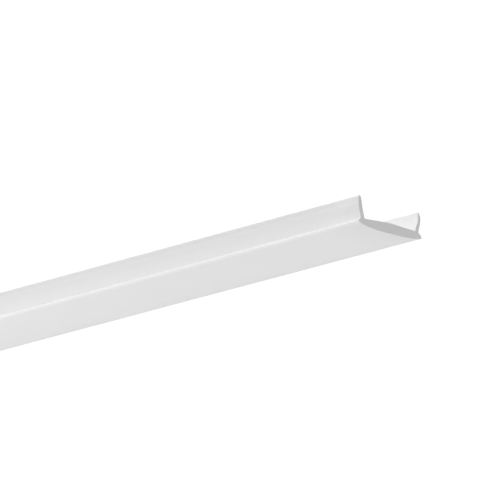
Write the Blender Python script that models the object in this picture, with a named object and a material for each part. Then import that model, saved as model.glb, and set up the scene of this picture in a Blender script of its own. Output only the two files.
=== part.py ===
"""Snap-in cover of an LED profile: a lens-shaped strip of opal plastic with two legs.

The cover is one extruded piece with a square cut at each end.  X runs across it, Y along it
and Z up.  It lies on the narrow flat of its curved lower face, which is the side that shows
when the cover is snapped in, and its legs stand up.  The origin is at the middle of its
footprint, on the surface that it lies on.  Sizes are in metres, and angles in degrees.
"""
from math import atan2, cos, degrees, radians, sin
from typing import NamedTuple

import bpy
from mathutils import Vector

# Strip
COVER_LENGTH = 0.500  # cut length
COVER_WIDTH = 0.0150  # over the two edges of the lens

# Lens, measured down and up from the level that lies between its edges
LENS_DROP = 0.00079  # lower face, at the middle
LENS_CROWN = 0.00100  # upper face, at the middle
LENS_LAND = 0.0030  # width of the flat along the middle of the lower face

# Hook leg, at -X, which goes into the profile first
HOOK_SHOULDER = 0.00047  # across, from the lens edge to the neck
HOOK_EDGE_HEIGHT = 0.00013  # of the lens edge, above the lens's level as all heights here
HOOK_NECK_HEIGHT = 0.00053  # outer foot
HOOK_ROOT_HEIGHT = 0.00069  # inner foot
HOOK_ROOT_THICKNESS = 0.00099  # from the outer foot to the inner one
HOOK_OUTER_LEAN = 3.0  # outer face at its foot, out of plumb
HOOK_INNER_LEAN = 14.5  # inner face at its foot, out of plumb
HOOK_CREST_HEIGHT = 0.00354  # where the leg stands out furthest
HOOK_CREST_OVERHANG = 0.00045  # how far it stands out there, past the neck
HOOK_CREST_THICKNESS = 0.00078
HOOK_TIP_HEIGHT = 0.00451  # corner of the tip, before it is rounded
HOOK_TIP_SETBACK = 0.00006  # how far the corner lies inside the crest
HOOK_TIP_LEAN = 12.0  # outer face below the corner, inward out of plumb
HOOK_TIP_RISE = 6.0  # tip's top inward of the corner, up out of level
HOOK_TIP_RADIUS = 0.00021

# Snap leg, at +X, which is pressed in last: shorter, and rounded further back
SNAP_SHOULDER = 0.00076
SNAP_EDGE_HEIGHT = -0.00015
SNAP_NECK_HEIGHT = 0.00072
SNAP_ROOT_HEIGHT = 0.00083
SNAP_ROOT_THICKNESS = 0.00070
SNAP_OUTER_LEAN = 10.5
SNAP_INNER_LEAN = 11.0
SNAP_CREST_HEIGHT = 0.00306
SNAP_CREST_OVERHANG = 0.00050
SNAP_CREST_THICKNESS = 0.00062
SNAP_TIP_HEIGHT = 0.00424
SNAP_TIP_SETBACK = 0.00051
SNAP_TIP_LEAN = 42.0
SNAP_TIP_RISE = 0.0
SNAP_TIP_RADIUS = 0.00009

# Rounding of the section
SHOULDER_BOW = 15.0  # how far a shoulder has turned inward where it meets the neck
NECK_RADIUS = 0.00010
ROOT_RADIUS = 0.00018

# Opal plastic
COVER_COLOUR = (0.84, 0.84, 0.84, 1.0)
COVER_ROUGHNESS = 0.42

# Headings of the outline, which runs anticlockwise as seen from -Y
RIGHT, UP, LEFT, DOWN = 0.0, 90.0, 180.0, 270.0

# How full the curves are: a handle's share of the way to the next knot, along the heading
HANDLE_SHARE = 0.5
CURVE_STEPS = 16


class Leg(NamedTuple):
    """Sizes of one leg, as named above."""

    shoulder: float
    edge_height: float
    neck_height: float
    root_height: float
    root_thickness: float
    outer_lean: float
    inner_lean: float
    crest_height: float
    crest_overhang: float
    crest_thickness: float
    tip_height: float
    tip_setback: float
    tip_lean: float
    tip_rise: float
    tip_radius: float


class Knot(NamedTuple):
    """A point of the outline and the heading in which the outline passes it."""

    place: Vector
    heading: float


HOOK_LEG = Leg(
    HOOK_SHOULDER, HOOK_EDGE_HEIGHT, HOOK_NECK_HEIGHT, HOOK_ROOT_HEIGHT, HOOK_ROOT_THICKNESS,
    HOOK_OUTER_LEAN, HOOK_INNER_LEAN, HOOK_CREST_HEIGHT, HOOK_CREST_OVERHANG,
    HOOK_CREST_THICKNESS, HOOK_TIP_HEIGHT, HOOK_TIP_SETBACK, HOOK_TIP_LEAN, HOOK_TIP_RISE,
    HOOK_TIP_RADIUS,
)
SNAP_LEG = Leg(
    SNAP_SHOULDER, SNAP_EDGE_HEIGHT, SNAP_NECK_HEIGHT, SNAP_ROOT_HEIGHT, SNAP_ROOT_THICKNESS,
    SNAP_OUTER_LEAN, SNAP_INNER_LEAN, SNAP_CREST_HEIGHT, SNAP_CREST_OVERHANG,
    SNAP_CREST_THICKNESS, SNAP_TIP_HEIGHT, SNAP_TIP_SETBACK, SNAP_TIP_LEAN, SNAP_TIP_RISE,
    SNAP_TIP_RADIUS,
)


def direction(heading):
    """Unit vector of a heading in degrees."""
    return Vector((cos(radians(heading)), sin(radians(heading))))


def heading_to(start, goal):
    """Heading of the straight line from one point to another."""
    return degrees(atan2(goal.y - start.y, goal.x - start.x))


def corner(place, arriving, leaving, radius):
    """Two knots that turn the outline from one heading to another round a corner."""
    return [
        Knot(place - radius * direction(arriving), arriving),
        Knot(place + radius * direction(leaving), leaving),
    ]


def leg_knots(leg):
    """Outline of a leg at +X, from the lens edge up over the tip to the inner foot."""
    edge = Vector((COVER_WIDTH / 2, leg.edge_height))
    neck = Vector((edge.x - leg.shoulder, leg.neck_height))
    crest = Vector((neck.x + leg.crest_overhang, leg.crest_height))
    tip = Vector((crest.x - leg.tip_setback, leg.tip_height))
    inner_crest = crest - Vector((leg.crest_thickness, 0))
    root = Vector((neck.x - leg.root_thickness, leg.root_height))
    shoulder = heading_to(edge, neck)
    upper_face = heading_to(root, Vector((0, LENS_CROWN)))
    return [
        Knot(edge, UP),
        *corner(neck, shoulder + SHOULDER_BOW, UP - leg.outer_lean, NECK_RADIUS),
        Knot(crest, UP),
        *corner(tip, UP + leg.tip_lean, LEFT - leg.tip_rise, leg.tip_radius),
        Knot(inner_crest, DOWN - leg.inner_lean / 2),
        *corner(root, DOWN - leg.inner_lean, upper_face, ROOT_RADIUS),
    ]


def mirrored(knots):
    """The same stretch of outline at -X, run through in the order of the outline."""
    return [Knot(Vector((-knot.place.x, knot.place.y)), -knot.heading) for knot in reversed(knots)]


def section_knots():
    """Outline of the whole section, with the level of the lens at zero."""
    return [
        *leg_knots(SNAP_LEG),
        Knot(Vector((0, LENS_CROWN)), LEFT),
        *mirrored(leg_knots(HOOK_LEG)),
        Knot(Vector((-LENS_LAND / 2, -LENS_DROP)), RIGHT),
        Knot(Vector((LENS_LAND / 2, -LENS_DROP)), RIGHT),
    ]


def handle(knot, neighbour):
    """Curve handle of a knot on the side of a neighbour, on the line of its heading."""
    along = direction(knot.heading)
    return knot.place + HANDLE_SHARE * (neighbour.place - knot.place).dot(along) * along


def draw_section(name, knots):
    """Flat filled curve through the knots."""
    curve = bpy.data.curves.new(name, "CURVE")
    curve.dimensions = "2D"
    curve.fill_mode = "BOTH"
    curve.resolution_u = CURVE_STEPS
    spline = curve.splines.new("BEZIER")
    spline.use_cyclic_u = True
    spline.bezier_points.add(len(knots) - 1)
    for index, (point, knot) in enumerate(zip(spline.bezier_points, knots)):
        point.handle_left_type = "FREE"
        point.handle_right_type = "FREE"
        point.co = knot.place.to_3d()
        point.handle_left = handle(knot, knots[index - 1]).to_3d()
        point.handle_right = handle(knot, knots[(index + 1) % len(knots)]).to_3d()
    return curve


def opal_plastic():
    """Frosted white plastic that lets some light through."""
    material = bpy.data.materials.new("opal_plastic")
    material.use_nodes = True
    shader = material.node_tree.nodes["Principled BSDF"]
    shader.inputs["Base Color"].default_value = COVER_COLOUR
    shader.inputs["Roughness"].default_value = COVER_ROUGHNESS
    shader.inputs["Metallic"].default_value = 0.0
    return material


def make_cover(collection):
    """The cover: its section extruded both ways from the middle of its length."""
    curve = draw_section("cover", section_knots())
    curve.extrude = COVER_LENGTH / 2
    curve.materials.append(opal_plastic())
    cover = bpy.data.objects.new("cover", curve)
    cover.rotation_euler.x = radians(90)
    cover.location.z = LENS_DROP
    collection.objects.link(cover)


def main():
    for old in list(bpy.data.objects):
        bpy.data.objects.remove(old, do_unlink=True)
    collection = bpy.data.collections.new("led_profile_cover")
    bpy.context.scene.collection.children.link(collection)
    make_cover(collection)


main()
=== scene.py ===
"""Opal snap-in cover strip of an LED profile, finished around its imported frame.

The file is laid out as a Blender add-on and is run as a script.  All lengths are in metres.
"""
from math import cos, radians, sin

import bmesh
import bpy
from bpy.props import FloatProperty, FloatVectorProperty, PointerProperty
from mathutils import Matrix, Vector


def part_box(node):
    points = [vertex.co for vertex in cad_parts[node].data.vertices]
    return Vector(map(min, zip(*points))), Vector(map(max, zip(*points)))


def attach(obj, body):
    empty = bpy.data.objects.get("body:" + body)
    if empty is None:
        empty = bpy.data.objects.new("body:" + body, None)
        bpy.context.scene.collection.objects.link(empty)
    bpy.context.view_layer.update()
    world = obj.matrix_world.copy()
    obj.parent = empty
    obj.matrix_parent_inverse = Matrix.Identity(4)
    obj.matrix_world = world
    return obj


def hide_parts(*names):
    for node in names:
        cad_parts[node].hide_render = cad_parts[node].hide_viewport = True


bl_info = {
    "name": "Opal cover strip",
    "version": (1, 0, 0),
    "blender": (4, 5, 0),
    "location": "3D Viewport > Sidebar > Cover Strip",
    "description": "Models and finishes the snap-in cover strip of an LED profile, with its stage",
    "category": "Add Mesh",
}

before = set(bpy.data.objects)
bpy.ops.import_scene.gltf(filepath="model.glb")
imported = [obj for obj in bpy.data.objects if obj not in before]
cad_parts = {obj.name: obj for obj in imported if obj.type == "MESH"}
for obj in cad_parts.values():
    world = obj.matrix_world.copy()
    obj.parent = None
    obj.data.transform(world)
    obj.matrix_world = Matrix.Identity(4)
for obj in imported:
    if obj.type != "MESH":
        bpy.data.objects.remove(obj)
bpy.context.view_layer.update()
COVER_LOW, COVER_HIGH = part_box("cover")
COVER_LENGTH = COVER_HIGH.y - COVER_LOW.y

# Levels of the section, above the strip's lowest line
LENS_LEVEL = 0.00079  # between the edges of the lens
LEG_FOOT = 0.0013  # outer feet of the legs
LEG_MIDDLE = 0.0036  # where the legs are as thin as they get

# Distances from the strip's middle
LEG_INSIDE = 0.0066  # the inner faces of the legs lie nearer the middle than this
LEG_OUTSIDE = 0.0069  # and their outer faces mostly further out than this

# Limits in the clean-up of the frame's mesh
WELD_DISTANCE = 1e-6  # points that are closer than this are one
FLAT_ANGLE = radians(0.05)  # faces that meet at less than this are one
END_FACING = 0.9  # least part of a sawn end's normal that points along the strip

# How fine the noise textures go below their own grain
FINE_DETAIL = 2.0
FLOW_DETAIL = 3.0

# Places of a Mix node's sockets: its mask, its two numbers, its two colours and their result
MIX_MASK = 0
MIX_NUMBERS = (2, 3)
MIX_COLOURS = (6, 7)
MIX_COLOUR_RESULT = 2

PHOTO_SIDE = 500  # in pixels


class StripSizes(bpy.types.PropertyGroup):
    """Sizes of the strip that the frame leaves open."""

    ring_spacing: FloatProperty(
        name="Ring spacing", description="Length between two edge rings along the strip",
        default=0.010, min=0.001, unit="LENGTH",
    )
    rim_softness: FloatProperty(
        name="Rim softness", description="Width of the eased edge round each sawn end",
        default=0.00002, min=0.0, unit="LENGTH",
    )
    crease_angle: FloatProperty(
        name="Crease angle", description="Edges that turn more than this stay sharp",
        default=radians(35), subtype="ANGLE",
    )


class StripFinish(bpy.types.PropertyGroup):
    """Colour and surface of the opal plastic, with light and shade painted into its colour."""

    colour: FloatVectorProperty(
        name="Colour", description="Body colour of the opal plastic",
        subtype="COLOR", size=3, default=(0.84, 0.84, 0.84), min=0.0, max=1.0,
    )
    flow_colour: FloatVectorProperty(
        name="Flow colour", description="Colour where the white pigment is drawn out thinner",
        subtype="COLOR", size=3, default=(0.825, 0.825, 0.825), min=0.0, max=1.0,
    )
    flow_width: FloatProperty(
        name="Flow width", description="Width of the cloudy streaks between the two colours",
        default=0.004, unit="LENGTH",
    )
    flow_stretch: FloatProperty(
        name="Flow stretch", description="Length of the cloudy streaks, in widths",
        default=20.0,
    )
    sawn_colour: FloatVectorProperty(
        name="Sawn colour", description="Colour of the plastic where it is sawn through",
        subtype="COLOR", size=3, default=(0.80, 0.80, 0.80), min=0.0, max=1.0,
    )
    # The next four settings are painted light: a whiter band along the lens edges, which stands in
    # for light that the opal plastic scatters round them.
    painted_edge_light: FloatProperty(
        name="Edge glow", description="How much whiter the plastic looks along the lens edges",
        default=0.072,
    )
    edge_reach: FloatProperty(
        name="Edge reach", description="Width of the whiter band along each edge of the lens",
        default=0.0008, unit="LENGTH",
    )
    edge_end: FloatProperty(
        name="Edge end", description="Distance from the edge at which the band is at its whitest",
        default=0.0002, unit="LENGTH",
    )
    edge_blend: FloatProperty(
        name="Edge blend", description="How far that band runs up the foot of the legs",
        default=0.0002, unit="LENGTH",
    )
    # The next four settings are painted shade: they darken the outer faces of the legs up towards
    # their tips, where less light reaches them.
    painted_leg_shade: FloatProperty(
        name="Leg fade", description="How much greyer the thin legs look than their feet",
        default=0.071,
    )
    painted_tip_shade: FloatProperty(
        name="Tip fade", description="How much greyer still the tips of the legs look",
        default=0.051,
    )
    tip_reach: FloatProperty(
        name="Tip reach", description="Depth below the tips at which their greyer shade begins",
        default=0.0012, unit="LENGTH",
    )
    tip_end: FloatProperty(
        name="Tip end", description="Depth below the tips at which their shade is complete",
        default=0.0003, unit="LENGTH",
    )
    roughness: FloatProperty(
        name="Roughness", description="Roughness of the extruded skin", default=0.42,
    )
    roughness_spread: FloatProperty(
        name="Roughness spread", description="How far the skin's roughness varies with its lines",
        default=0.08,
    )
    sawn_roughness: FloatProperty(
        name="Sawn roughness", description="Roughness of the sawn ends", default=0.75,
    )
    sawn_roughness_spread: FloatProperty(
        name="Sawn roughness spread", description="How far that varies with the saw marks",
        default=0.1,
    )
    die_line_width: FloatProperty(
        name="Die line width", description="Spacing of the faint lines that the die leaves",
        default=0.0004, unit="LENGTH",
    )
    die_line_stretch: FloatProperty(
        name="Die line stretch", description="Length of those faint lines, in spacings",
        default=250.0,
    )
    die_line_depth: FloatProperty(
        name="Die line depth", description="Height of the faint lines that the die leaves",
        default=0.000003, unit="LENGTH",
    )
    saw_mark_width: FloatProperty(
        name="Saw mark width", description="Spacing of the arcs on the sawn ends",
        default=0.00022, unit="LENGTH",
    )
    saw_mark_depth: FloatProperty(
        name="Saw mark depth", description="Height of the arcs on the sawn ends",
        default=0.000002, unit="LENGTH",
    )
    blade_radius: FloatProperty(
        name="Blade radius", description="Radius of the saw blade that cut the strip",
        default=0.10, unit="LENGTH",
    )


class StageSettings(bpy.types.PropertyGroup):
    """Floor, light and camera."""

    floor_drop: FloatProperty(
        name="Floor drop", description="Depth of the floor below the strip, which hangs free",
        default=1.8, unit="LENGTH",
    )
    floor_side: FloatProperty(
        name="Floor side", description="Length of the floor's side", default=90.0, unit="LENGTH",
    )
    floor_shade: FloatProperty(
        name="Floor shade", description="Grey of the pale floor", default=0.64,
    )
    backdrop: FloatProperty(
        name="Backdrop", description="Brightness of the white behind the strip", default=1.05,
    )
    top_light: FloatProperty(
        name="Top light", description="Strength of the large light overhead", default=2.53,
    )
    left_light: FloatProperty(
        name="Left light", description="Strength of the large light on the hook leg's side",
        default=1.70,
    )
    right_light: FloatProperty(
        name="Right light", description="Strength of the large light on the snap leg's side",
        default=1.55,
    )
    side_height: FloatProperty(
        name="Side height", description="Height of the two side lights above the horizon",
        default=radians(30), subtype="ANGLE",
    )
    light_spread: FloatProperty(
        name="Light spread", description="Width of the large lights as the strip sees them",
        default=radians(60), subtype="ANGLE",
    )
    low_light: FloatProperty(
        name="Low light", description="Power of the small softbox below the strip, in watts",
        default=0.0122,
    )
    low_light_side: FloatProperty(
        name="Low light side", description="Length of the small softbox's side",
        default=0.05, unit="LENGTH",
    )
    low_light_reach: FloatProperty(
        name="Low light reach", description="Distance of the small softbox from the strip",
        default=0.10, unit="LENGTH",
    )
    low_light_along: FloatProperty(
        name="Low light along", description="Distance of the small softbox from the near end",
        default=0.12, unit="LENGTH",
    )
    low_light_depth: FloatProperty(
        name="Low light depth", description="Angle of the small softbox below the horizon",
        default=radians(40), subtype="ANGLE",
    )
    azimuth: FloatProperty(
        name="Azimuth", description="Direction of the camera round the strip",
        default=radians(-44.41), subtype="ANGLE",
    )
    elevation: FloatProperty(
        name="Elevation", description="Height of the camera above the horizon, negative below",
        default=radians(-15.31), subtype="ANGLE",
    )
    distance: FloatProperty(
        name="Distance", description="Camera to the near end of the strip, along its view",
        default=1.704, unit="LENGTH",
    )
    lens: FloatProperty(
        name="Lens", description="Focal length in millimetres", default=731.8,
    )
    end_across: FloatProperty(
        name="End across", description="Pixels from the photograph's left to the near end",
        default=390.15,
    )
    end_down: FloatProperty(
        name="End down", description="Pixels from the photograph's top to the near end",
        default=229.21,
    )


class Wire:
    """An output socket of a material, on which Python's sums add Math nodes."""

    def __init__(self, board, socket):
        self.board = board
        self.socket = socket

    def math(self, operation, *values):
        return self.board.add("ShaderNodeMath", {"operation": operation}, dict(enumerate(values)))

    def __add__(self, other):
        return self.math("ADD", self, other)

    def __sub__(self, other):
        return self.math("SUBTRACT", self, other)

    def __rsub__(self, other):
        return self.math("SUBTRACT", other, self)

    def __mul__(self, other):
        return self.math("MULTIPLY", self, other)

    def __truediv__(self, other):
        return self.math("DIVIDE", self, other)

    def __pow__(self, other):
        return self.math("POWER", self, other)

    def __gt__(self, other):
        return self.math("GREATER_THAN", self, other)

    def __abs__(self):
        return self.math("ABSOLUTE", self)

    __radd__ = __add__
    __rmul__ = __mul__


class Board:
    """A material's node tree, to which one method adds every node."""

    def __init__(self, name):
        self.material = bpy.data.materials.new(name)
        self.material.use_nodes = True
        self.tree = self.material.node_tree
        self.shader = self.tree.nodes["Principled BSDF"]

    def add(self, kind, settings=None, inputs=None, output=0):
        node = self.tree.nodes.new(kind)
        for name, value in (settings or {}).items():
            setattr(node, name, value)
        for name, value in (inputs or {}).items():
            self.feed(node, name, value)
        return Wire(self, node.outputs[output])

    def feed(self, node, name, value):
        if isinstance(value, Wire):
            self.tree.links.new(value.socket, node.inputs[name])
        else:
            node.inputs[name].default_value = value

    def finish(self, **inputs):
        """Feeds the shader's sockets, named with underscores for spaces."""
        for name, value in inputs.items():
            self.feed(self.shader, name.replace("_", " ").title(), value)
        return self.material


def streaks(board, place, width, stretch, detail):
    """Soft random shade in streaks along the strip, of a width and of so many widths' length."""
    squeezed = board.add(
        "ShaderNodeVectorMath", {"operation": "MULTIPLY"}, {0: place, 1: (1.0, 1 / stretch, 1.0)},
    )
    return board.add(
        "ShaderNodeTexNoise", inputs={"Vector": squeezed, "Scale": 1 / width, "Detail": detail},
    )


def ramp(board, value, start, end, rise="SMOOTHSTEP"):
    """Zero up to the start, one past the end, and a rise between them."""
    limits = {"Value": value, "From Min": start, "From Max": end}
    return board.add("ShaderNodeMapRange", {"interpolation_type": rise}, limits)


def blend(board, mask, below, above):
    """The second number where the mask is one."""
    first, second = MIX_NUMBERS
    return board.add("ShaderNodeMix", inputs={MIX_MASK: mask, first: below, second: above})


def blend_colours(board, mask, below, above):
    """The second colour where the mask is one."""
    first, second = MIX_COLOURS
    return board.add(
        "ShaderNodeMix", {"data_type": "RGBA"}, {MIX_MASK: mask, first: below, second: above},
        output=MIX_COLOUR_RESULT,
    )


def painted_light_and_shade(board, finish, across, up):
    """Painted light and shade for the skin's colour: darker up the outer faces of the legs,
    lighter along the lens edges.
    """
    up_the_leg = ramp(board, up, LEG_FOOT, LEG_MIDDLE, "LINEAR")
    near_tip = ramp(board, up, COVER_HIGH.z - finish.tip_reach, COVER_HIGH.z - finish.tip_end)
    outer_face = ramp(board, abs(across), LEG_INSIDE, LEG_OUTSIDE)
    # Painted shade: the outer faces of the legs are darkened up towards their tips.
    painted_shade = (finish.painted_leg_shade * up_the_leg + finish.painted_tip_shade * near_tip) * outer_face

    # Painted light: the skin is lightened along the lens edges, below the legs.
    below_legs = ramp(board, up, LEG_FOOT + finish.edge_blend, LENS_LEVEL, "LINEAR")
    near_edge = ramp(
        board, abs(across), COVER_HIGH.x - finish.edge_reach, COVER_HIGH.x - finish.edge_end,
    )
    return 1 + finish.painted_edge_light * near_edge * below_legs - painted_shade


def opal_plastic(finish, rim_softness):
    """Satin skin with faint lines along the strip and painted light and shade in its colour, and
    matt sawn ends.
    """
    board = Board("opal_skin")
    place = board.add("ShaderNodeTexCoord", output="Object")
    across, along, up = (
        board.add("ShaderNodeSeparateXYZ", inputs={"Vector": place}, output=axis) for axis in "XYZ"
    )
    sawn = abs(along) > COVER_LENGTH / 2 - rim_softness

    die_lines = streaks(
        board, place, finish.die_line_width, finish.die_line_stretch, FINE_DETAIL,
    )
    blade_reach = (across ** 2.0 + (up + finish.blade_radius) ** 2.0) ** 0.5
    saw_marks = board.add("ShaderNodeTexNoise", {"noise_dimensions": "1D"}, {
        "W": blade_reach / finish.saw_mark_width, "Scale": 1.0, "Detail": FINE_DETAIL,
    })
    relief = blend(
        board, sawn, die_lines * finish.die_line_depth, saw_marks * finish.saw_mark_depth,
    )
    bump = board.add("ShaderNodeBump", inputs={"Height": relief, "Distance": 1.0})

    flow = streaks(board, place, finish.flow_width, finish.flow_stretch, FLOW_DETAIL)
    flowed = blend_colours(board, flow, (*finish.flow_colour, 1.0), (*finish.colour, 1.0))
    # The skin's colour carries the painted light and shade.
    skin = board.add(
        "ShaderNodeVectorMath", {"operation": "SCALE"},
        {"Vector": flowed, "Scale": painted_light_and_shade(board, finish, across, up)},
    )
    colour = blend_colours(board, sawn, skin, (*finish.sawn_colour, 1.0))

    skin_roughness = finish.roughness + finish.roughness_spread * (die_lines - 0.5)
    sawn_roughness = finish.sawn_roughness + finish.sawn_roughness_spread * (saw_marks - 0.5)
    roughness = blend(board, sawn, skin_roughness, sawn_roughness)

    return board.finish(base_color=colour, roughness=roughness, normal=bump)


def strip_mesh(sizes):
    """The frame's mesh with edge rings along it and its sawn ends eased."""
    bm = bmesh.new()
    bm.from_mesh(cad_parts["cover"].data)
    bmesh.ops.remove_doubles(bm, verts=bm.verts, dist=WELD_DISTANCE)
    bmesh.ops.dissolve_limit(bm, angle_limit=FLAT_ANGLE, verts=bm.verts, edges=bm.edges)
    long_edges = [edge for edge in bm.edges if edge.calc_length() > COVER_LENGTH / 2]
    rings = round(COVER_LENGTH / sizes.ring_spacing) - 1
    bmesh.ops.subdivide_edges(bm, edges=long_edges, cuts=rings)
    ends = [face for face in bm.faces if abs(face.normal.y) > END_FACING]
    for end in ends:
        bmesh.ops.translate(bm, verts=end.verts, vec=-sizes.rim_softness * end.normal)
    bmesh.ops.inset_region(
        bm, faces=ends, thickness=sizes.rim_softness, depth=sizes.rim_softness,
        use_even_offset=True,
    )
    mesh = bpy.data.meshes.new("cover_strip")
    bm.to_mesh(mesh)
    bm.free()
    mesh.shade_smooth()
    mesh.set_sharp_from_angle(angle=sizes.crease_angle)
    return mesh


class STRIP_OT_cover(bpy.types.Operator):
    """Model the cover strip from the section of its frame and give it its finish"""

    bl_idname = "cover_strip.cover"
    bl_label = "Cover Strip"

    def execute(self, context):
        sizes = context.scene.strip_sizes
        mesh = strip_mesh(sizes)
        mesh.materials.append(opal_plastic(context.scene.strip_finish, sizes.rim_softness))
        piece = bpy.data.objects.new("cover_strip", mesh)
        context.scene.collection.objects.link(piece)
        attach(piece, "root")
        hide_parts("cover")
        return {"FINISHED"}


def add_floor(scene, stage):
    """Pale floor that the camera sees through from underneath."""
    bm = bmesh.new()
    bmesh.ops.create_grid(bm, x_segments=1, y_segments=1, size=stage.floor_side / 2)
    bmesh.ops.translate(bm, verts=bm.verts, vec=(0, 0, -stage.floor_drop))
    mesh = bpy.data.meshes.new("floor")
    bm.to_mesh(mesh)
    bm.free()
    board = Board("pale_floor")
    shade = (stage.floor_shade, stage.floor_shade, stage.floor_shade, 1.0)
    underside = board.add("ShaderNodeNewGeometry", output="Backfacing")
    mesh.materials.append(board.finish(base_color=shade, roughness=1.0, alpha=1 - underside))
    floor = bpy.data.objects.new("floor", mesh)
    scene.collection.objects.link(floor)


def add_world(scene, stage):
    """White backdrop that only the camera sees, so that it sheds no light on the strip."""
    world = bpy.data.worlds.new("studio")
    scene.world = world
    world.use_nodes = True
    nodes, links = world.node_tree.nodes, world.node_tree.links
    ray = nodes.new("ShaderNodeLightPath")
    seen = nodes.new("ShaderNodeMath")
    seen.operation = "MULTIPLY"
    seen.inputs[1].default_value = stage.backdrop
    links.new(ray.outputs["Is Camera Ray"], seen.inputs[0])
    backdrop = nodes["Background"]
    backdrop.inputs["Color"].default_value = (1, 1, 1, 1)
    links.new(seen.outputs[0], backdrop.inputs["Strength"])


def hang_lamp(scene, light, toward):
    """Object that turns a light in a direction."""
    lamp = bpy.data.objects.new(light.name, light)
    lamp.rotation_mode = "QUATERNION"
    lamp.rotation_quaternion = Vector(toward).to_track_quat("-Z", "Y")
    scene.collection.objects.link(lamp)
    return lamp


def add_large_lights(scene, stage):
    """Lights from above and from both sides, each as wide and even as a large softbox."""
    level, fall = cos(stage.side_height), -sin(stage.side_height)
    for name, strength, toward in (
        ("top_light", stage.top_light, (0, 0, -1)),
        ("left_light", stage.left_light, (level, 0, fall)),
        ("right_light", stage.right_light, (-level, 0, fall)),
    ):
        light = bpy.data.lights.new(name, "SUN")
        light.energy = strength
        light.angle = stage.light_spread
        hang_lamp(scene, light, toward)


def add_low_light(scene, stage):
    """Small softbox on the hook leg's side, which lifts the far part of the picture."""
    light = bpy.data.lights.new("low_light", "AREA")
    light.shape = "SQUARE"
    light.size = stage.low_light_side
    light.energy = stage.low_light
    away = Vector((-cos(stage.low_light_depth), 0, -sin(stage.low_light_depth)))
    lit_place = Vector((0, COVER_LOW.y + stage.low_light_along, 0))
    lamp = hang_lamp(scene, light, -away)
    lamp.location = lit_place + stage.low_light_reach * away
    lamp.visible_camera = False


def add_camera(scene, stage):
    """Camera at the photograph's angle, with the near end at its place in the picture."""
    data = bpy.data.cameras.new("camera")
    data.lens = stage.lens
    level = cos(stage.elevation)
    back = Vector((
        sin(stage.azimuth) * level, -cos(stage.azimuth) * level, sin(stage.elevation),
    ))
    turn = (-back).to_track_quat("-Z", "Y")
    pixel = data.sensor_width / stage.lens / PHOTO_SIDE * stage.distance
    right = (stage.end_across - PHOTO_SIDE / 2) * pixel
    down = (stage.end_down - PHOTO_SIDE / 2) * pixel
    near_end = Vector((0, COVER_LOW.y, LENS_LEVEL))
    camera = bpy.data.objects.new("camera", data)
    camera.rotation_mode = "QUATERNION"
    camera.rotation_quaternion = turn
    camera.location = near_end - turn @ Vector((right, -down, -stage.distance))
    scene.collection.objects.link(camera)
    scene.camera = camera


class STRIP_OT_stage(bpy.types.Operator):
    """Set the floor, the backdrop, the lights and the camera round the strip"""

    bl_idname = "cover_strip.stage"
    bl_label = "Stage"

    def execute(self, context):
        scene, stage = context.scene, context.scene.strip_stage
        scene.view_settings.view_transform = "Standard"
        add_floor(scene, stage)
        add_world(scene, stage)
        add_large_lights(scene, stage)
        add_low_light(scene, stage)
        add_camera(scene, stage)
        return {"FINISHED"}


class STRIP_PT_panel(bpy.types.Panel):
    """Buttons and settings of the cover strip."""

    bl_label = "Cover Strip"
    bl_space_type = "VIEW_3D"
    bl_region_type = "UI"
    bl_category = "Cover Strip"

    def draw(self, context):
        scene = context.scene
        for operator, groups in (
            ("cover_strip.cover", (scene.strip_sizes, scene.strip_finish)),
            ("cover_strip.stage", (scene.strip_stage,)),
        ):
            self.layout.operator(operator)
            for group in groups:
                for name in group.__annotations__:
                    self.layout.prop(group, name)


CLASSES = (
    StripSizes, StripFinish, StageSettings, STRIP_OT_cover, STRIP_OT_stage, STRIP_PT_panel,
)


def register():
    for each in CLASSES:
        bpy.utils.register_class(each)
    bpy.types.Scene.strip_sizes = PointerProperty(type=StripSizes)
    bpy.types.Scene.strip_finish = PointerProperty(type=StripFinish)
    bpy.types.Scene.strip_stage = PointerProperty(type=StageSettings)


def unregister():
    del bpy.types.Scene.strip_sizes
    del bpy.types.Scene.strip_finish
    del bpy.types.Scene.strip_stage
    for each in reversed(CLASSES):
        bpy.utils.unregister_class(each)


def main():
    register()
    bpy.ops.cover_strip.cover()
    bpy.ops.cover_strip.stage()


if __name__ == "__main__":
    main()
